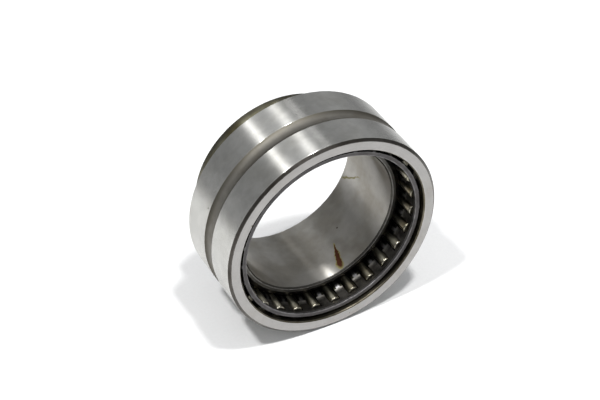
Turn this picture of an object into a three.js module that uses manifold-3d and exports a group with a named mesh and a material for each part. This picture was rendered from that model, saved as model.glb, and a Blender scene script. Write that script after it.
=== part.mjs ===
// Needle roller bearing with machined rings, lying on its outside diameter.
// Millimetres. The bearing axis is Y, the front face looks towards -Y and +Z is up.
// The origin is the centre of the outer ring.
import * as THREE from 'three';
import { mergeVertices } from 'three/addons/utils/BufferGeometryUtils.js';
import Module from 'manifold-3d';

const wasm = await Module();
wasm.setup();

// Driving dimensions
const RING_WIDTH = 35;
const OUTSIDE_RADIUS = 45;
const BORE_RADIUS = 32.5;
const INNER_RACEWAY_RADIUS = 36.5;
const NEEDLE_RADIUS = 2.25;
const NEEDLE_LENGTH = 25;
const NEEDLE_COUNT = 28;
const RADIAL_PLAY = 0.05;
const INNER_PLAY = 0.01;
const AXIAL_PLAY = 0.3;

// The inner ring is loose in the bearing and stands back from the outer ring's front face
const INNER_RING_SETBACK = 12.4;

// Direction of the first needle, in degrees from +X towards +Z
const FIRST_NEEDLE_ANGLE = -84.5;

// Outer ring
const OUTER_CHAMFER = 1.04;
const RIB_RADIUS = 39.8;
const RIB_CHAMFER = 0.5;
const GROOVE_WIDTH = 6.2;
const GROOVE_DEPTH = 1;
const GROOVE_STEPS = 6;
const OIL_HOLE_RADIUS = 1.5;
const OIL_HOLE_ANGLE = 320;

// Inner ring
const BORE_CHAMFER = 0.6;
const BEVEL_INNER_RADIUS = 34.4;
const BEVEL_LENGTH = 1.1;

// Cage, pressed from sheet to a shape like an M: a lip at each end, two raised end bands and a
// lower middle band
const SHEET = 1.1;
const CAGE_SETBACK = 1.55;
const CAGE_OUTSIDE_RADIUS = 38.85;
const CAGE_LIP_RADIUS = 36.7;
const CAGE_MIDDLE_RADIUS = 37.85;
const CAGE_STEP_START = 9.3;
const CAGE_STEP_END = 11;
const WINDOW_GAP = 0.2;
const WINDOW_SIDE_GAP = 0.1;
const WINDOW_MIDDLE_HALF_WIDTH = 2.12;

// Needle ends
const NEEDLE_CHAMFER = 0.5;

// How finely round shapes are divided
const RING_SEGMENTS = 3 * NEEDLE_COUNT;
const NEEDLE_SEGMENTS = 16;
const HOLE_SEGMENTS = 16;

// How far a cutter reaches past the wall that it cuts
const CUT_OVERLAP = 1;

// Worked out from the sizes above
const HALF_WIDTH = RING_WIDTH / 2;
const PITCH_RADIUS = INNER_RACEWAY_RADIUS + NEEDLE_RADIUS + INNER_PLAY;
const OUTER_RACEWAY_RADIUS = INNER_RACEWAY_RADIUS + 2 * NEEDLE_RADIUS + RADIAL_PLAY;
const HALF_RACEWAY = NEEDLE_LENGTH / 2 + AXIAL_PLAY;
const HALF_WINDOW = NEEDLE_LENGTH / 2 + WINDOW_GAP;
const HALF_CAGE = HALF_WIDTH - CAGE_SETBACK;

const ringSteel = new THREE.MeshStandardMaterial({ color: 0xb9b7b2, roughness: 0.32, metalness: 1 });
const racewaySteel = new THREE.MeshStandardMaterial({ color: 0xaaa79f, roughness: 0.28, metalness: 1 });
const cageSteel = new THREE.MeshStandardMaterial({ color: 0x5a5858, roughness: 0.5, metalness: 1 });
const needleSteel = new THREE.MeshStandardMaterial({ color: 0xa8a491, roughness: 0.2, metalness: 1 });

const degrees = (angle) => THREE.MathUtils.degToRad(angle);

// Pairs of [radius, y] as profile points
const points = (pairs) => pairs.map(([radius, y]) => new THREE.Vector2(radius, y));

// The front half of a profile followed by its mirror image at the back
function bothEnds(frontHalf) {
  const backHalf = frontHalf.map(([radius, y]) => [radius, -y]).reverse();
  return [...frontHalf, ...backHalf];
}

// A closed outline of [radius, y] pairs turned about the Y axis
function ringGeometry(outline) {
  return new THREE.LatheGeometry(points([...outline, outline[0]]), RING_SEGMENTS);
}

function toSolid(geometry) {
  geometry.deleteAttribute('normal');
  geometry.deleteAttribute('uv');
  const merged = mergeVertices(geometry);
  return new wasm.Manifold(new wasm.Mesh({
    numProp: 3,
    vertProperties: new Float32Array(merged.attributes.position.array),
    triVerts: new Uint32Array(merged.index.array),
  }));
}

function toGeometry(solid) {
  const mesh = solid.getMesh();
  const geometry = new THREE.BufferGeometry();
  geometry.setAttribute('position', new THREE.BufferAttribute(mesh.vertProperties, 3));
  geometry.setIndex(new THREE.BufferAttribute(mesh.triVerts, 1));
  geometry.computeVertexNormals();
  return geometry;
}

function cut(geometry, cutters) {
  const rest = cutters.reduce((solid, cutter) => solid.subtract(toSolid(cutter)), toSolid(geometry));
  return toGeometry(rest);
}

// A box standing on the radius that points along the angle, wide across it and long along Y
function radialBox(angle, halfWidth, yFrom, yTo, radiusFrom, radiusTo) {
  const box = new THREE.BoxGeometry(2 * halfWidth, yTo - yFrom, radiusTo - radiusFrom);
  box.translate(0, (yFrom + yTo) / 2, (radiusFrom + radiusTo) / 2);
  box.rotateY(degrees(90 - angle));
  return box;
}

// Outer ring: two ribs inside, a round-bottomed lubrication groove outside and an oil hole in it
function grooveOutline() {
  const half = GROOVE_WIDTH / 2;
  const arcRadius = (half ** 2 + GROOVE_DEPTH ** 2) / (2 * GROOVE_DEPTH);
  const arcCentre = OUTSIDE_RADIUS - GROOVE_DEPTH + arcRadius;
  const outline = [];
  for (let step = 0; step <= GROOVE_STEPS; step += 1) {
    const y = half * (1 - (2 * step) / GROOVE_STEPS);
    outline.push([arcCentre - Math.sqrt(arcRadius ** 2 - y ** 2), y]);
  }
  return outline;
}

function oilHole(angle) {
  const wallFrom = OUTER_RACEWAY_RADIUS - CUT_OVERLAP;
  const wallTo = OUTSIDE_RADIUS + CUT_OVERLAP;
  const drill = new THREE.CylinderGeometry(
    OIL_HOLE_RADIUS, OIL_HOLE_RADIUS, wallTo - wallFrom, HOLE_SEGMENTS);
  drill.rotateX(Math.PI / 2);
  drill.translate(0, 0, (wallFrom + wallTo) / 2);
  drill.rotateY(degrees(90 - angle));
  return drill;
}

function outerRing() {
  const inside = bothEnds([
    [RIB_RADIUS + RIB_CHAMFER, -HALF_WIDTH],
    [RIB_RADIUS, -HALF_WIDTH + RIB_CHAMFER],
    [RIB_RADIUS, -HALF_RACEWAY],
    [OUTER_RACEWAY_RADIUS, -HALF_RACEWAY],
  ]);
  const outside = [
    [OUTSIDE_RADIUS - OUTER_CHAMFER, HALF_WIDTH],
    [OUTSIDE_RADIUS, HALF_WIDTH - OUTER_CHAMFER],
    ...grooveOutline(),
    [OUTSIDE_RADIUS, -HALF_WIDTH + OUTER_CHAMFER],
    [OUTSIDE_RADIUS - OUTER_CHAMFER, -HALF_WIDTH],
  ];
  const body = ringGeometry([...inside, ...outside].reverse());
  return cut(body, [oilHole(OIL_HOLE_ANGLE)]);
}

// Inner ring: plain bore and raceway with bevelled corners
function innerRing() {
  const bore = bothEnds([
    [BORE_RADIUS + BORE_CHAMFER, -HALF_WIDTH],
    [BORE_RADIUS, -HALF_WIDTH + BORE_CHAMFER],
  ]);
  const raceway = bothEnds([
    [BEVEL_INNER_RADIUS, -HALF_WIDTH],
    [INNER_RACEWAY_RADIUS, -HALF_WIDTH + BEVEL_LENGTH],
  ]).reverse();
  return toGeometry(toSolid(ringGeometry([...bore, ...raceway].reverse())));
}

// Cage: an M-shaped section with one window for each needle
function cageSection() {
  const lipBack = -HALF_CAGE + SHEET;
  const stepStart = -HALF_WIDTH + CAGE_STEP_START;
  const stepEnd = -HALF_WIDTH + CAGE_STEP_END;
  const inside = bothEnds([
    [CAGE_LIP_RADIUS, -HALF_CAGE],
    [CAGE_LIP_RADIUS, lipBack],
    [CAGE_OUTSIDE_RADIUS - SHEET, lipBack],
    [CAGE_OUTSIDE_RADIUS - SHEET, stepStart],
    [CAGE_MIDDLE_RADIUS - SHEET, stepEnd],
  ]);
  const outside = bothEnds([
    [CAGE_OUTSIDE_RADIUS, -HALF_CAGE],
    [CAGE_OUTSIDE_RADIUS, stepStart],
    [CAGE_MIDDLE_RADIUS, stepEnd],
  ]).reverse();
  return [...inside, ...outside].reverse();
}

// A window is as wide as its needle in the raised bands, and a little narrower in the middle band,
// where the bars lie nearer the axis and hold the needle out
function windowCutters(angle) {
  const inner = CAGE_LIP_RADIUS - CUT_OVERLAP;
  const outer = CAGE_OUTSIDE_RADIUS + CUT_OVERLAP;
  const bandEnd = -HALF_WIDTH + CAGE_STEP_END;
  const bandHalfWidth = NEEDLE_RADIUS + WINDOW_SIDE_GAP;
  return [
    radialBox(angle, WINDOW_MIDDLE_HALF_WIDTH, -HALF_WINDOW, HALF_WINDOW, inner, outer),
    radialBox(angle, bandHalfWidth, -HALF_WINDOW, bandEnd, inner, outer),
    radialBox(angle, bandHalfWidth, -bandEnd, HALF_WINDOW, inner, outer),
  ];
}

function needleAngles() {
  return Array.from({ length: NEEDLE_COUNT }, (_, i) => FIRST_NEEDLE_ANGLE + (i * 360) / NEEDLE_COUNT);
}

function needleCage() {
  return cut(ringGeometry(cageSection()), needleAngles().flatMap(windowCutters));
}

// Needle: a plain roller with small chamfers at both ends
function needleRoller() {
  const half = NEEDLE_LENGTH / 2;
  const outline = bothEnds([
    [0, -half],
    [NEEDLE_RADIUS - NEEDLE_CHAMFER, -half],
    [NEEDLE_RADIUS, -half + NEEDLE_CHAMFER],
  ]);
  return new THREE.LatheGeometry(points(outline), NEEDLE_SEGMENTS);
}

function addPiece(parent, name, geometry, material) {
  const piece = new THREE.Mesh(geometry, material);
  piece.name = name;
  parent.add(piece);
  return piece;
}

const bearing = new THREE.Group();
addPiece(bearing, 'outer_ring', outerRing(), ringSteel);

const innerRingPiece = addPiece(bearing, 'inner_ring', innerRing(), racewaySteel);
innerRingPiece.position.y = INNER_RING_SETBACK;

addPiece(bearing, 'needle_cage', needleCage(), cageSteel);

needleAngles().forEach((angle, i) => {
  const name = `needle_${String(i + 1).padStart(2, '0')}`;
  const needle = addPiece(bearing, name, needleRoller(), needleSteel);
  const turn = degrees(angle);
  needle.position.set(PITCH_RADIUS * Math.cos(turn), 0, PITCH_RADIUS * Math.sin(turn));
});

export default bearing;
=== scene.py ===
"""Needle roller bearing with machined rings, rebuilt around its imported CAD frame.

The bearing axis is Y, the front face looks towards -Y and the origin is the centre of the outer
ring, which stands on its outside diameter. Sizes are in millimetres unless a comment says metres,
and MM turns them into Blender's metres. The floor, the lamps and the camera are placed in metres.
"""

import math

import bmesh
import bpy
from mathutils import Matrix, Vector


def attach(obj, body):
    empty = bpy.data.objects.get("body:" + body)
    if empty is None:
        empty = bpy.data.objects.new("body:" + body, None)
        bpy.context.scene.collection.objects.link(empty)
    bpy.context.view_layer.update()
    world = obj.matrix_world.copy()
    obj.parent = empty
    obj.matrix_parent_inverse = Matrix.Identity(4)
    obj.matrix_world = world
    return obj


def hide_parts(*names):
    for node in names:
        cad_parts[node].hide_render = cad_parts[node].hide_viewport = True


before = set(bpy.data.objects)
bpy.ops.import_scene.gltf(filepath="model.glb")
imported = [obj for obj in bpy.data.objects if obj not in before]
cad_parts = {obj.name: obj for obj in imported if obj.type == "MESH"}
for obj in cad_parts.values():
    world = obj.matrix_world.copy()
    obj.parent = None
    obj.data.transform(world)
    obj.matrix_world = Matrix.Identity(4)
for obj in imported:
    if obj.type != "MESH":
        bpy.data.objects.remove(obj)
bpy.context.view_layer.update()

MM = 0.001

# Sizes in millimetres, the same as the CAD solids
HALF_WIDTH = 17.5
OUTSIDE_RADIUS = 45.0
BORE_RADIUS = 32.5
RACEWAY_RADIUS = 36.5
NEEDLE_RADIUS = 2.25
HALF_NEEDLE = 12.5
NEEDLE_COUNT = 28
INNER_PLAY = 0.01
RADIAL_PLAY = 0.05
AXIAL_PLAY = 0.3
PITCH_RADIUS = RACEWAY_RADIUS + NEEDLE_RADIUS + INNER_PLAY
OUTER_RACEWAY_RADIUS = RACEWAY_RADIUS + 2 * NEEDLE_RADIUS + RADIAL_PLAY
HALF_RACEWAY = HALF_NEEDLE + AXIAL_PLAY
INNER_RING_SETBACK = 12.4
FIRST_NEEDLE_ANGLE = -84.5
OUTER_CHAMFER = 1.04
RIB_RADIUS = 39.8
RIB_CHAMFER = 0.5
GROOVE_HALF_WIDTH = 3.1
GROOVE_DEPTH = 1.0
GROOVE_STEPS = 16
OIL_HOLE_RADIUS = 1.5
OIL_HOLE_ANGLE = 320
BORE_CHAMFER = 0.6
BEVEL_INNER_RADIUS = 34.4
BEVEL_LENGTH = 1.1
CAGE_SETBACK = 1.55
HALF_CAGE = HALF_WIDTH - CAGE_SETBACK
SHEET = 1.1
CAGE_OUTSIDE_RADIUS = 38.85
CAGE_LIP_RADIUS = 36.7
CAGE_MIDDLE_RADIUS = 37.85
STEP_START = -8.2
STEP_END = -6.5
WINDOW_GAP = 0.2
HALF_WINDOW = HALF_NEEDLE + WINDOW_GAP
WINDOW_BAND_HALF_WIDTH = 2.35
WINDOW_MIDDLE_HALF_WIDTH = 2.12

# Needle ends: a nearly flat middle, a slight dome, and a rounded corner
NEEDLE_FLAT_RADIUS = 0.7
NEEDLE_FLAT_DROP = 0.01
NEEDLE_DOME_DROP = 0.12
NEEDLE_FILLET = 0.7

# How finely round shapes are divided
RING_SEGMENTS = 336
NEEDLE_SEGMENTS = 48
HOLE_SEGMENTS = 48
FLOOR_SEGMENTS = 96
FILLET_STEPS = 4
SUPPORT = 0.22  # distance from a fillet to the edge loop that keeps the shading flat
SHARP_ANGLE = 35  # degrees between faces above which a cut piece keeps a sharp edge

# Cutters
WINDOW_FILLET = 0.35
CUT_OVERLAP = 1
OIL_DRILL_LENGTH = 8

# Shader lengths in metres, and the share of the colour that the dark band covers at most
BUMP_DEPTH = 0.000008
DARK_BAND_COVER = 0.8
# Colour of the dark band: painted shade on the groove walls and on the needles, and a darker back
# end on the inner ring's track
DARK_BAND_COLOUR = (0.07, 0.064, 0.05)
SPOT_COLOUR = (0.10, 0.085, 0.07)
# Near-black painted shade on the sides of the cage's bars
BAR_SIDE_SHADE_COLOUR = (0.003, 0.003, 0.002)

# Camera and floor, in metres and degrees
LENS = 104.4
SENSOR_WIDTH = 36.0
EYE = (-0.2486, -0.4508, 0.4329)
EYE_TILT = 50.36
EYE_TURN = -28.33
FLOOR_RADIUS = 3.0


# ---------------------------------------------------------------- outlines and turned solids
def rounded(corners):
    """A closed outline of (radius, y, fillet, zone) corners with every corner rounded.

    Gives (radius, y, edge, zone) points. Edge is 1 on the rounded edge and 0 off it, and lightens
    the colour there, partly as rubbed wear and partly as a painted highlight; zone is the
    material of the stretch that starts at the point.
    """
    outline = []
    count = len(corners)
    for i, (radius, y, fillet, zone) in enumerate(corners):
        last_zone = corners[i - 1][3]
        if fillet == 0:
            outline.append((radius, y, 0.0, zone))
            continue
        here = Vector((radius, y))
        back = Vector(corners[i - 1][:2]) - here
        ahead = Vector(corners[(i + 1) % count][:2]) - here
        if back.length > 2 * (fillet + SUPPORT):
            outline.append((*(here + back.normalized() * (fillet + SUPPORT)), 0.0, last_zone))
        start = here + back.normalized() * fillet
        end = here + ahead.normalized() * fillet
        for step in range(FILLET_STEPS + 1):
            t = step / FILLET_STEPS
            point = start * (1 - t) ** 2 + here * 2 * t * (1 - t) + end * t ** 2
            outline.append((*point, 1.0, zone if step == FILLET_STEPS else last_zone))
        if ahead.length > 2 * (fillet + SUPPORT):
            outline.append((*(here + ahead.normalized() * (fillet + SUPPORT)), 0.0, zone))
    return outline


def mirrored(front_half, zones_back):
    """The front half of an outline and its mirror image; zones_back are the back half's zones."""
    back = [(r, -y, f, zone) for (r, y, f, _), zone in zip(reversed(front_half), zones_back)]
    return [*front_half, *back]


def new_piece(name, mesh, materials):
    """A smooth-shaded object made from a bmesh."""
    bmesh.ops.recalc_face_normals(mesh, faces=mesh.faces)
    data = bpy.data.meshes.new(name)
    mesh.to_mesh(data)
    mesh.free()
    for material in materials:
        data.materials.append(material)
    data.shade_smooth()
    piece = bpy.data.objects.new(name, data)
    bpy.context.scene.collection.objects.link(piece)
    return piece


def turned(outline, centre=(0.0, 0.0), shift=0.0, segments=RING_SEGMENTS):
    """A bmesh solid turned about the line parallel to Y through centre, moved along Y by shift."""
    mesh = bmesh.new()
    wear_and_highlight = mesh.verts.layers.float.new("wear_and_highlight")
    rings = []
    for radius, y, worn_and_lit, _ in outline:
        ring = []
        for k in range(segments if radius > 0 else 1):
            angle = 2 * math.pi * k / segments
            x = centre[0] + radius * math.cos(angle)
            z = centre[1] + radius * math.sin(angle)
            vert = mesh.verts.new((x * MM, (y + shift) * MM, z * MM))
            vert[wear_and_highlight] = worn_and_lit
            ring.append(vert)
        rings.append(ring)
    for i, (_, _, _, zone) in enumerate(outline):
        a, b = rings[i], rings[(i + 1) % len(rings)]
        if len(a) == 1 and len(b) == 1:
            continue
        for k in range(segments):
            n = (k + 1) % segments
            if len(a) == 1:
                corners = (a[0], b[n], b[k])
            elif len(b) == 1:
                corners = (a[k], a[n], b[0])
            else:
                corners = (a[k], a[n], b[n], b[k])
            mesh.faces.new(corners).material_index = zone
    return mesh


def cut(piece, cutter_mesh, cut_zone):
    """Takes the cutter's solid out of the piece and removes the cutter."""
    for face in cutter_mesh.faces:
        face.material_index = cut_zone
    cutter = new_piece("cutter", cutter_mesh, [])
    modifier = piece.modifiers.new("cut", "BOOLEAN")
    modifier.object = cutter
    modifier.operation = "DIFFERENCE"
    modifier.solver = "EXACT"
    bpy.context.view_layer.update()
    shaped = piece.evaluated_get(bpy.context.evaluated_depsgraph_get())
    done = bpy.data.meshes.new_from_object(shaped)
    piece.modifiers.clear()
    piece.data = done
    done.set_sharp_from_angle(angle=math.radians(SHARP_ANGLE))
    bpy.data.objects.remove(cutter)


def finish_piece(piece, body, nodes):
    """Says which body the piece moves with, which CAD nodes it replaces."""
    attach(piece, body)
    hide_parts(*nodes)


# ---------------------------------------------------------------- materials
def node(tree, kind, inputs=None, **settings):
    """Adds a shader node. inputs maps a socket to a value or to another node's output."""
    made = tree.nodes.new(kind)
    for key, value in settings.items():
        setattr(made, key, value)
    for socket, value in (inputs or {}).items():
        if isinstance(value, bpy.types.NodeSocket):
            tree.links.new(value, made.inputs[socket])
        else:
            made.inputs[socket].default_value = value
    return made


def sums(tree, operation, *values):
    """The output of a Math node."""
    return node(tree, "ShaderNodeMath", dict(enumerate(values)), operation=operation).outputs[0]


def ramp(tree, value, low, high, to_low=0.0, to_high=1.0):
    """A smooth step from to_low at low to to_high at high."""
    inputs = {"Value": value, 1: low, 2: high, 3: to_low, 4: to_high}
    made = node(tree, "ShaderNodeMapRange", inputs, interpolation_type="SMOOTHSTEP")
    return made.outputs[0]


def noise(tree, vector, scale, detail=2.0, roughness=0.5):
    inputs = {"Vector": vector, "Scale": scale, "Detail": detail, "Roughness": roughness}
    return node(tree, "ShaderNodeTexNoise", inputs).outputs[0]


def mixed(tree, share, first, second, blend="MIX"):
    """A colour between two colours."""
    inputs = {0: share, 6: first, 7: second}
    made = node(tree, "ShaderNodeMix", inputs, data_type="RGBA", blend_type=blend)
    return made.outputs[2]


def rgb(red, green, blue):
    return (red, green, blue, 1.0)


def steel(name, colour, tint, roughness, anisotropy=0.0, lay="around", grain=1.0, tint_from=0.45,
          wear_and_highlight=0.5, spots=0.0, clouds=0.12, stain=False, bar_side_shade=False, dark_band=None):
    """Finished steel. The lay is the direction of the grinding marks: around the axis on turned
    surfaces, or in rings on end faces. The tint is oil or tarnish in soft patches, and the clouds
    are how much small patches darken it. The dark band darkens the colour more and more between
    two distances from the bearing's middle, in mm along the axis. Rounded edges are lightened,
    partly as rubbed wear and partly as a painted highlight, and the bars can get painted shade."""
    material = bpy.data.materials.new(name)
    material.use_nodes = True
    tree = material.node_tree
    tree.nodes.clear()
    place = node(tree, "ShaderNodeTexCoord").outputs["Object"]
    x, y, z = node(tree, "ShaderNodeSeparateXYZ", {0: place}).outputs
    flat = node(tree, "ShaderNodeCombineXYZ", {0: x, 2: z}).outputs[0]
    radius = node(tree, "ShaderNodeVectorMath", {0: flat}, operation="LENGTH").outputs["Value"]

    across = y if lay == "around" else radius
    marks = []
    for fine, coarse, detail in ((5200.0, 26.0, 3.0), (1300.0, 14.0, 2.0)):
        parts = {0: sums(tree, "MULTIPLY", x, coarse),
                 1: sums(tree, "MULTIPLY", across, fine),
                 2: sums(tree, "MULTIPLY", z, coarse)}
        vector = node(tree, "ShaderNodeCombineXYZ", parts).outputs[0]
        marks.append(noise(tree, vector, 1.0, detail, 0.6))
    patches = noise(tree, place, 70.0, 3.0, 0.55)
    specks = noise(tree, place, 1500.0, 2.0, 0.6)

    tint_share = ramp(tree, patches, tint_from, tint_from + 0.3)
    shade = mixed(tree, tint_share, rgb(*colour), rgb(*tint))
    halves = [sums(tree, "MULTIPLY", mark, 0.5) for mark in marks]
    streaks = sums(tree, "ADD", *halves)
    value = ramp(tree, streaks, 0.3, 0.7, 1.0 - 0.16 * grain, 1.0)
    value = sums(tree, "MULTIPLY", value, ramp(tree, specks, 0.3, 0.7, 1.0 - 0.08 * grain, 1.0))
    cloud = ramp(tree, noise(tree, place, 260.0, 4.0, 0.6), 0.3, 0.7, 1.0 - clouds, 1.0)
    value = sums(tree, "MULTIPLY", value, cloud)
    grey = node(tree, "ShaderNodeCombineColor", {0: value, 1: value, 2: value}).outputs[0]
    shade = mixed(tree, 1.0, shade, grey, "MULTIPLY")

    rough = ramp(tree, marks[1], 0.3, 0.7, roughness - 0.03 * grain, roughness + 0.04 * grain)
    # Rounded edges get a lighter colour: partly rubbed wear, partly a painted highlight where the
    # edges catch the light
    if wear_and_highlight:
        worn_and_lit = node(tree, "ShaderNodeAttribute", attribute_name="wear_and_highlight").outputs["Fac"]
        uneven = ramp(tree, noise(tree, place, 420.0, 3.0, 0.6), 0.35, 0.65, 0.25, 1.0)
        worn_and_lit = sums(tree, "MULTIPLY", sums(tree, "MULTIPLY", worn_and_lit, uneven), wear_and_highlight)
        shade = mixed(tree, worn_and_lit, shade, rgb(*[0.06 + 1.3 * part for part in colour]))
    height = sums(tree, "MULTIPLY", streaks, grain)
    if spots:
        cells = node(tree, "ShaderNodeTexVoronoi", {"Vector": place, "Scale": 260.0})
        draw = node(tree, "ShaderNodeSeparateColor", {0: cells.outputs["Color"]}).outputs[0]
        picked = sums(tree, "GREATER_THAN", draw, 1.0 - spots)
        spot = ramp(tree, cells.outputs["Distance"], 0.07, 0.13, 1.0, 0.0)
        spot = sums(tree, "MULTIPLY", spot, picked)
        shade = mixed(tree, spot, shade, rgb(*SPOT_COLOUR))
    if stain:
        shade, rough = stained(tree, shade, rough, x, y, z, place)
    # Painted shade on the bars' sides, towards the windows
    if bar_side_shade:
        shade = shade_bar_sides(tree, shade, x, z)
    # The dark band: painted shade where it is used on the groove and on the needles
    if dark_band:
        off_middle = sums(tree, "DIVIDE", sums(tree, "ABSOLUTE", y), MM)
        cover = ramp(tree, off_middle, *dark_band, 0.0, DARK_BAND_COVER)
        shade = mixed(tree, cover, shade, rgb(*DARK_BAND_COLOUR))
    bump = node(tree, "ShaderNodeBump", {"Height": height, "Strength": 0.3, "Distance": BUMP_DEPTH})
    inputs = {"Base Color": shade, "Metallic": 1.0, "Roughness": rough,
              "Normal": bump.outputs[0], "Anisotropic": anisotropy, "Anisotropic Rotation": 0.25}
    if anisotropy:
        tangent = node(tree, "ShaderNodeTangent", direction_type="RADIAL", axis="Y")
        inputs["Tangent"] = tangent.outputs[0]
    shader = node(tree, "ShaderNodeBsdfPrincipled", inputs)
    node(tree, "ShaderNodeOutputMaterial", {"Surface": shader.outputs[0]})
    return material


# Dried oil in the bore: where each run starts and ends (degrees round the bore, mm along it), its
# half width at both ends in mm, and the colours of its rim and its middle
STAINS = (
    ((-62.7, 9.4), (-70.2, -4.1), 0.45, 1.75, (0.42, 0.37, 0.12), (0.10, 0.026, 0.016)),
    ((-26.0, 29.0), (-13.0, 17.6), 0.5, 0.3, (0.36, 0.34, 0.24), (0.26, 0.235, 0.12)),
)


def stained(tree, shade, rough, x, y, z, place):
    """Adds the runs to the colour and the roughness of the bore."""
    arc = sums(tree, "MULTIPLY", sums(tree, "ARCTAN2", z, x), BORE_RADIUS)
    height = sums(tree, "DIVIDE", y, MM)
    wobble = sums(tree, "SUBTRACT", noise(tree, place, 420.0, 3.0, 0.6), 0.5)
    for (angle_from, y_from), (angle_to, y_to), width_from, width_to, rim, middle in STAINS:
        start = Vector((math.radians(angle_from) * BORE_RADIUS, y_from))
        run = Vector((math.radians(angle_to) * BORE_RADIUS, y_to)) - start
        along = run.normalized()
        u = sums(tree, "SUBTRACT", arc, start.x)
        v = sums(tree, "SUBTRACT", height, start.y)
        share = sums(tree, "ADD", sums(tree, "MULTIPLY", u, along.x / run.length),
                     sums(tree, "MULTIPLY", v, along.y / run.length))
        side = sums(tree, "SUBTRACT", sums(tree, "MULTIPLY", u, along.y),
                    sums(tree, "MULTIPLY", v, along.x))
        side = sums(tree, "ADD", side, sums(tree, "MULTIPLY", wobble, 2.2))
        width = ramp(tree, share, 0.0, 0.9, width_from, width_to)
        off_centre = sums(tree, "ABSOLUTE", sums(tree, "MULTIPLY_ADD", share, 2.0, -1.0))
        far = sums(tree, "POWER", off_centre, 4.0)
        wide = sums(tree, "POWER", sums(tree, "DIVIDE", side, width), 2.0)
        reach = sums(tree, "ADD", far, wide)
        rim_share = ramp(tree, reach, 0.75, 1.35, 0.8, 0.0)
        shade = mixed(tree, rim_share, shade, rgb(*rim))
        shade = mixed(tree, ramp(tree, reach, 0.3, 0.85, 0.95, 0.0), shade, rgb(*middle))
        rough = sums(tree, "ADD", rough, sums(tree, "MULTIPLY", rim_share, 0.12))
    return shade, rough


def shade_bar_sides(tree, shade, x, z):
    """Painted shade: darkens the cage's bars towards the windows, so each bar keeps its highlight
    only along its middle.
    """
    angle = sums(tree, "SUBTRACT", sums(tree, "ARCTAN2", z, x), math.radians(FIRST_NEEDLE_ANGLE))
    across = sums(tree, "COSINE", sums(tree, "MULTIPLY", angle, NEEDLE_COUNT))
    return mixed(tree, ramp(tree, across, -0.99, -0.72), shade, rgb(*BAR_SIDE_SHADE_COLOUR))


LAND, GROOVE, FACE, CHAMFER, RIB, RACEWAY = range(6)
ring_materials = [
    steel("ring_ground_land", (0.53, 0.525, 0.50), (0.46, 0.452, 0.42), 0.26, 1.0, grain=0.12,
          spots=0.03),
    # On the groove the dark band is painted shade: the walls darken towards both edges
    steel("ring_turned_groove", (0.21, 0.20, 0.178), (0.165, 0.15, 0.12), 0.55, grain=0.5,
          dark_band=(0.8, GROOVE_HALF_WIDTH)),
    steel("ring_end_face", (0.41, 0.40, 0.388), (0.37, 0.355, 0.335), 0.42, lay="rings",
          grain=0.6, spots=0.12, clouds=0.08),
    steel("ring_chamfer", (0.085, 0.078, 0.07), (0.06, 0.053, 0.043), 0.34, 0.3, grain=0.5,
          spots=0.04, clouds=0.3),
    steel("ring_rib_bore", (0.14, 0.125, 0.09), (0.08, 0.068, 0.04), 0.34, 0.5, clouds=0.4),
    steel("ring_raceway", (0.14, 0.13, 0.11), (0.10, 0.09, 0.07), 0.55),
]
BORE, SHAFT_FACE, SHAFT_BEVEL, TRACK = range(4)
shaft_ring_materials = [
    steel("shaft_ring_bore", (0.46, 0.445, 0.415), (0.35, 0.33, 0.29), 0.34, 1.0, grain=0.15,
          tint_from=0.36, spots=0.05, stain=True),
    steel("shaft_ring_end_face", (0.14, 0.135, 0.125), (0.10, 0.095, 0.082), 0.38, lay="rings",
          clouds=0.3, wear_and_highlight=1.0),
    steel("shaft_ring_bevel", (0.06, 0.057, 0.05), (0.042, 0.038, 0.03), 0.36, 0.3, clouds=0.3),
    # On the track the dark band darkens it towards its back end
    steel("shaft_ring_track", (0.36, 0.345, 0.25), (0.22, 0.19, 0.09), 0.26, 0.85, grain=0.2,
          tint_from=0.4, clouds=0.45, dark_band=(25.0, 28.2)),
]
LIP, INSIDE, BAR, CUT_EDGE = range(4)
cage_materials = [
    steel("cage_lip", (0.107, 0.102, 0.102), (0.07, 0.064, 0.06), 0.36, lay="rings", grain=1.4,
          wear_and_highlight=1.0, clouds=0.35),
    steel("cage_oily_inside", (0.10, 0.094, 0.084), (0.035, 0.03, 0.022), 0.42, grain=1.2,
          tint_from=0.4, clouds=0.8),
    steel("cage_bar", (0.062, 0.06, 0.06), (0.04, 0.037, 0.034), 0.31, grain=1.0, clouds=0.6,
          bar_side_shade=True),
    steel("cage_cut_edge", (0.09, 0.083, 0.072), (0.05, 0.042, 0.03), 0.42, grain=1.6, wear_and_highlight=0,
          clouds=0.5),
]
needle_materials = [
    # On the needles the dark band is painted shade: each needle darkens towards its middle, where
    # it runs in under the inner ring
    steel("needle_lapped", (0.50, 0.475, 0.375), (0.30, 0.24, 0.14), 0.30, 0.5, grain=0.3,
          clouds=0.45, tint_from=0.42, dark_band=(11.5, 7.0)),
    steel("needle_end", (0.34, 0.32, 0.26), (0.22, 0.20, 0.13), 0.30, grain=0.2, lay="rings",
          clouds=0.3, wear_and_highlight=0.2),
]


# ---------------------------------------------------------------- outer ring
def groove_points():
    """The lubrication groove's round bottom, from the back edge to the front edge."""
    arc_radius = (GROOVE_HALF_WIDTH ** 2 + GROOVE_DEPTH ** 2) / (2 * GROOVE_DEPTH)
    arc_centre = OUTSIDE_RADIUS - GROOVE_DEPTH + arc_radius
    made = []
    for step in range(1, GROOVE_STEPS):
        y = GROOVE_HALF_WIDTH * (1 - 2 * step / GROOVE_STEPS)
        made.append((arc_centre - math.sqrt(arc_radius ** 2 - y ** 2), y, 0, GROOVE))
    return made


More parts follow.
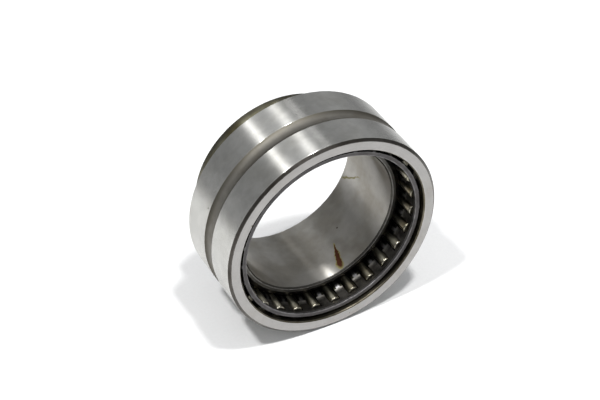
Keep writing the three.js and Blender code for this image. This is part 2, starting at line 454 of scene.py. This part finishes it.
def outer_ring():
    """Two ribs inside, a lubrication groove round the outside and an oil hole in the groove."""
    inside = mirrored([
        (RIB_RADIUS + RIB_CHAMFER, -HALF_WIDTH, 0.08, RIB),
        (RIB_RADIUS, -HALF_WIDTH + RIB_CHAMFER, 0.12, RIB),
        (RIB_RADIUS, -HALF_RACEWAY, 0.08, RIB),
        (OUTER_RACEWAY_RADIUS, -HALF_RACEWAY, 0.15, RACEWAY),
    ], (RIB, RIB, RIB, FACE))
    outside = [
        (OUTSIDE_RADIUS - OUTER_CHAMFER, HALF_WIDTH, 0.14, CHAMFER),
        (OUTSIDE_RADIUS, HALF_WIDTH - OUTER_CHAMFER, 0.09, LAND),
        (OUTSIDE_RADIUS, GROOVE_HALF_WIDTH, 0.05, GROOVE),
        *groove_points(),
        (OUTSIDE_RADIUS, -GROOVE_HALF_WIDTH, 0.05, LAND),
        (OUTSIDE_RADIUS, -HALF_WIDTH + OUTER_CHAMFER, 0.09, CHAMFER),
        (OUTSIDE_RADIUS - OUTER_CHAMFER, -HALF_WIDTH, 0.14, FACE),
    ]
    piece = new_piece("outer_ring_steel", turned(rounded([*inside, *outside])), ring_materials)
    drill = bmesh.new()
    angle = math.radians(OIL_HOLE_ANGLE)
    along = Vector((math.cos(angle), 0, math.sin(angle)))
    turn = along.to_track_quat("Z", "Y").to_matrix().to_4x4()
    middle = along * (OUTER_RACEWAY_RADIUS + OUTSIDE_RADIUS) / 2 * MM
    bmesh.ops.create_cone(drill, cap_ends=True, segments=HOLE_SEGMENTS,
                          radius1=OIL_HOLE_RADIUS * MM, radius2=OIL_HOLE_RADIUS * MM,
                          depth=OIL_DRILL_LENGTH * MM, matrix=Matrix.Translation(middle) @ turn)
    cut(piece, drill, GROOVE)
    finish_piece(piece, "outer_ring", ["outer_ring"])


# ---------------------------------------------------------------- inner ring
def inner_ring():
    """A plain bore and raceway with bevelled corners, set back from the outer ring's front."""
    outline = [
        (BORE_RADIUS + BORE_CHAMFER, -HALF_WIDTH, 0.1, SHAFT_BEVEL),
        (BORE_RADIUS, -HALF_WIDTH + BORE_CHAMFER, 0.15, BORE),
        (BORE_RADIUS, HALF_WIDTH - BORE_CHAMFER, 0.15, SHAFT_BEVEL),
        (BORE_RADIUS + BORE_CHAMFER, HALF_WIDTH, 0.1, SHAFT_FACE),
        (BEVEL_INNER_RADIUS, HALF_WIDTH, 0.12, SHAFT_BEVEL),
        (RACEWAY_RADIUS, HALF_WIDTH - BEVEL_LENGTH, 0.2, TRACK),
        (RACEWAY_RADIUS, -HALF_WIDTH + BEVEL_LENGTH, 0.2, SHAFT_BEVEL),
        (BEVEL_INNER_RADIUS, -HALF_WIDTH, 0.12, SHAFT_FACE),
    ]
    solid = turned(rounded(outline), shift=INNER_RING_SETBACK)
    piece = new_piece("inner_ring_steel", solid, shaft_ring_materials)
    finish_piece(piece, "inner_ring", ["inner_ring"])


# ---------------------------------------------------------------- cage
def needle_angle(i):
    """The direction of a needle from the bearing's axis, from +X towards +Z."""
    return math.radians(FIRST_NEEDLE_ANGLE + i * 360 / NEEDLE_COUNT)


def window_outline():
    """A cage window seen along its radius, as (across, y) points with its corners rounded."""
    band, middle = WINDOW_BAND_HALF_WIDTH, WINDOW_MIDDLE_HALF_WIDTH
    quarter = [(middle, STEP_END, 0), (band, STEP_END, 0), (band, -HALF_WINDOW, WINDOW_FILLET)]
    front = [*quarter, *((-w, y, f) for w, y, f in reversed(quarter))]
    corners = [*front, *((-w, -y, f) for w, y, f in front)]
    points = []
    for i, (across, y, fillet) in enumerate(corners):
        here = Vector((across, y))
        if fillet == 0:
            points.append(here)
            continue
        back = (Vector(corners[i - 1][:2]) - here).normalized()
        ahead = (Vector(corners[(i + 1) % len(corners)][:2]) - here).normalized()
        for step in range(FILLET_STEPS + 1):
            t = step / FILLET_STEPS
            points.append(here + back * fillet * (1 - t) ** 2 + ahead * fillet * t ** 2)
    return points


def window_cutters():
    """One bmesh of all the window-shaped prisms, each standing on its needle's radius."""
    mesh = bmesh.new()
    outline = window_outline()
    for i in range(NEEDLE_COUNT):
        angle = needle_angle(i)
        out = Vector((math.cos(angle), 0, math.sin(angle)))
        across = Vector((-math.sin(angle), 0, math.cos(angle)))
        loops = []
        for radius in (CAGE_LIP_RADIUS - CUT_OVERLAP, CAGE_OUTSIDE_RADIUS + CUT_OVERLAP):
            loops.append([mesh.verts.new((out * radius + across * p.x + Vector((0, p.y, 0))) * MM)
                          for p in outline])
        low, high = loops
        mesh.faces.new(reversed(low))
        mesh.faces.new(high)
        for k, vert in enumerate(low):
            n = (k + 1) % len(low)
            mesh.faces.new((vert, low[n], high[n], high[k]))
    return mesh


def needle_cage():
    """A pressing of M-shaped section, with a lip at each end and a window for each needle."""
    lip_back = -HALF_CAGE + SHEET
    inside = mirrored([
        (CAGE_LIP_RADIUS, -HALF_CAGE, 0.25, LIP),
        (CAGE_LIP_RADIUS, lip_back, 0.3, INSIDE),
        (CAGE_OUTSIDE_RADIUS - SHEET, lip_back, 0.25, INSIDE),
        (CAGE_OUTSIDE_RADIUS - SHEET, STEP_START, 0.8, BAR),
        (CAGE_MIDDLE_RADIUS - SHEET, STEP_END, 0.8, BAR),
    ], (BAR, INSIDE, INSIDE, LIP, LIP))
    outside = [
        (CAGE_OUTSIDE_RADIUS, HALF_CAGE, 0.5, BAR),
        (CAGE_OUTSIDE_RADIUS, -STEP_START, 0.6, BAR),
        (CAGE_MIDDLE_RADIUS, -STEP_END, 0.6, BAR),
        (CAGE_MIDDLE_RADIUS, STEP_END, 0.6, BAR),
        (CAGE_OUTSIDE_RADIUS, STEP_START, 0.6, BAR),
        (CAGE_OUTSIDE_RADIUS, -HALF_CAGE, 0.5, LIP),
    ]
    solid = turned(rounded([*inside, *outside]))
    piece = new_piece("cage_pressing", solid, cage_materials)
    cut(piece, window_cutters(), CUT_EDGE)
    finish_piece(piece, "cage", ["needle_cage"])


# ---------------------------------------------------------------- needles
def needle(i):
    """A roller with a slightly domed end and a rounded corner."""
    angle = needle_angle(i)
    centre = (PITCH_RADIUS * math.cos(angle), PITCH_RADIUS * math.sin(angle))
    front = rounded([
        (0, -HALF_NEEDLE, 0, 1),
        (NEEDLE_FLAT_RADIUS, -HALF_NEEDLE + NEEDLE_FLAT_DROP, 0, 1),
        (NEEDLE_RADIUS, -HALF_NEEDLE + NEEDLE_DOME_DROP, NEEDLE_FILLET, 0),
        (NEEDLE_RADIUS, 0, 0, 0),
    ])[:-1]
    back = [(r, -y, worn_and_lit, zone) for r, y, worn_and_lit, zone in reversed(front)]
    outline = front + back
    for k, (r, y, worn_and_lit, _) in enumerate(outline):
        following = outline[(k + 1) % len(outline)]
        on_side = min(r, following[0]) > NEEDLE_RADIUS - 0.02
        outline[k] = (r, y, worn_and_lit, 0 if on_side else 1)
    name = f"needle_{i + 1:02d}"
    solid = turned(outline, centre=centre, segments=NEEDLE_SEGMENTS)
    piece = new_piece(f"{name}_roller", solid, needle_materials)
    finish_piece(piece, name, [name])


outer_ring()
inner_ring()
needle_cage()
for index in range(NEEDLE_COUNT):
    needle(index)


# ---------------------------------------------------------------- floor, light and camera
def floor():
    """Pale paper, with painted shade that darkens it further out."""
    mesh = bmesh.new()
    bmesh.ops.create_circle(mesh, cap_ends=True, segments=FLOOR_SEGMENTS, radius=FLOOR_RADIUS)
    data = bpy.data.meshes.new("floor")
    mesh.to_mesh(data)
    mesh.free()
    material = bpy.data.materials.new("floor_paper")
    material.use_nodes = True
    tree = material.node_tree
    tree.nodes.clear()
    place = node(tree, "ShaderNodeTexCoord").outputs["Object"]
    fibre_and_painted_falloff = ramp(tree, noise(tree, place, 900.0, 3.0), 0.3, 0.7, 0.80, 0.82)
    reach = node(tree, "ShaderNodeVectorMath", {0: place}, operation="LENGTH").outputs["Value"]
    # Painted shade: the paper darkens to 30% between 0.2 m and 0.6 m from its middle, as if the
    # light fell off there
    fibre_and_painted_falloff = sums(tree, "MULTIPLY", fibre_and_painted_falloff, ramp(tree, reach, 0.2, 0.6, 1.0, 0.3))
    white = node(tree, "ShaderNodeCombineColor", {0: fibre_and_painted_falloff, 1: fibre_and_painted_falloff, 2: fibre_and_painted_falloff}).outputs[0]
    shader = node(tree, "ShaderNodeBsdfPrincipled", {"Base Color": white, "Roughness": 0.9})
    node(tree, "ShaderNodeOutputMaterial", {"Surface": shader.outputs[0]})
    data.materials.append(material)
    piece = bpy.data.objects.new("floor", data)
    piece.location.z = -OUTSIDE_RADIUS * MM
    bpy.context.scene.collection.objects.link(piece)


def studio_light(name, position, radius, power):
    """A round area light that faces the bearing, with its place and radius in metres."""
    data = bpy.data.lights.new(name, "AREA")
    data.shape = "DISK"
    data.size = 2 * radius
    data.energy = power
    lamp = bpy.data.objects.new(name, data)
    lamp.location = position
    lamp.rotation_euler = (-Vector(position)).to_track_quat("-Z", "Y").to_euler()
    bpy.context.scene.collection.objects.link(lamp)


# The room's brightness by direction round the bearing's axis: stops of (angle in degrees from +X
# towards +Z, brightness)
ROOM = ((-10, 0.27), (3, 0.29), (20, 0.53), (36, 0.55), (50, 0.37), (60, 0.38), (72, 0.50),
        (88, 0.74), (103, 0.68), (114, 0.44), (130, 0.40), (160, 0.34), (177, 0.50),
        (190, 0.50))
ROOM_TINT = (0.985, 1.0, 1.02)


def surroundings():
    """A grey room, lightest overhead, whose brightness changes smoothly from stop to stop."""
    world = bpy.data.worlds.new("room")
    world.use_nodes = True
    tree = world.node_tree
    tree.nodes.clear()
    place = node(tree, "ShaderNodeTexCoord").outputs["Generated"]
    x, _, z = node(tree, "ShaderNodeSeparateXYZ", {0: place}).outputs
    turn = sums(tree, "ARCTAN2", sums(tree, "MULTIPLY", x, -1.0), z)
    angle = sums(tree, "ADD", sums(tree, "DEGREES", turn), 90.0)
    light = ROOM[0][1]
    for (low, before), (high, after) in zip(ROOM, ROOM[1:]):
        step = ramp(tree, angle, low, high, 0.0, after - before)
        light = sums(tree, "ADD", light, step)
    cool = [sums(tree, "MULTIPLY", light, part) for part in ROOM_TINT]
    colour = node(tree, "ShaderNodeCombineColor", dict(enumerate(cool))).outputs[0]
    glow = node(tree, "ShaderNodeBackground", {"Color": colour, "Strength": 1.0})
    node(tree, "ShaderNodeOutputWorld", {"Surface": glow.outputs[0]})
    bpy.context.scene.world = world


def camera():
    data = bpy.data.cameras.new("camera")
    data.lens = LENS
    data.sensor_width = SENSOR_WIDTH
    eye = bpy.data.objects.new("camera", data)
    eye.location = EYE
    eye.rotation_euler = (math.radians(EYE_TILT), 0.0, math.radians(EYE_TURN))
    bpy.context.scene.collection.objects.link(eye)
    bpy.context.scene.camera = eye


floor()
surroundings()
studio_light("left_lamp", (-0.755, -0.25, 1.755), 0.08, 22.0)
studio_light("right_lamp", (0.10, -0.45, 1.755), 0.09, 21.5)
studio_light("back_lamp", (0.62, 1.35, 1.50), 0.12, 0.32)
camera()
bpy.context.scene.view_settings.view_transform = "Standard"
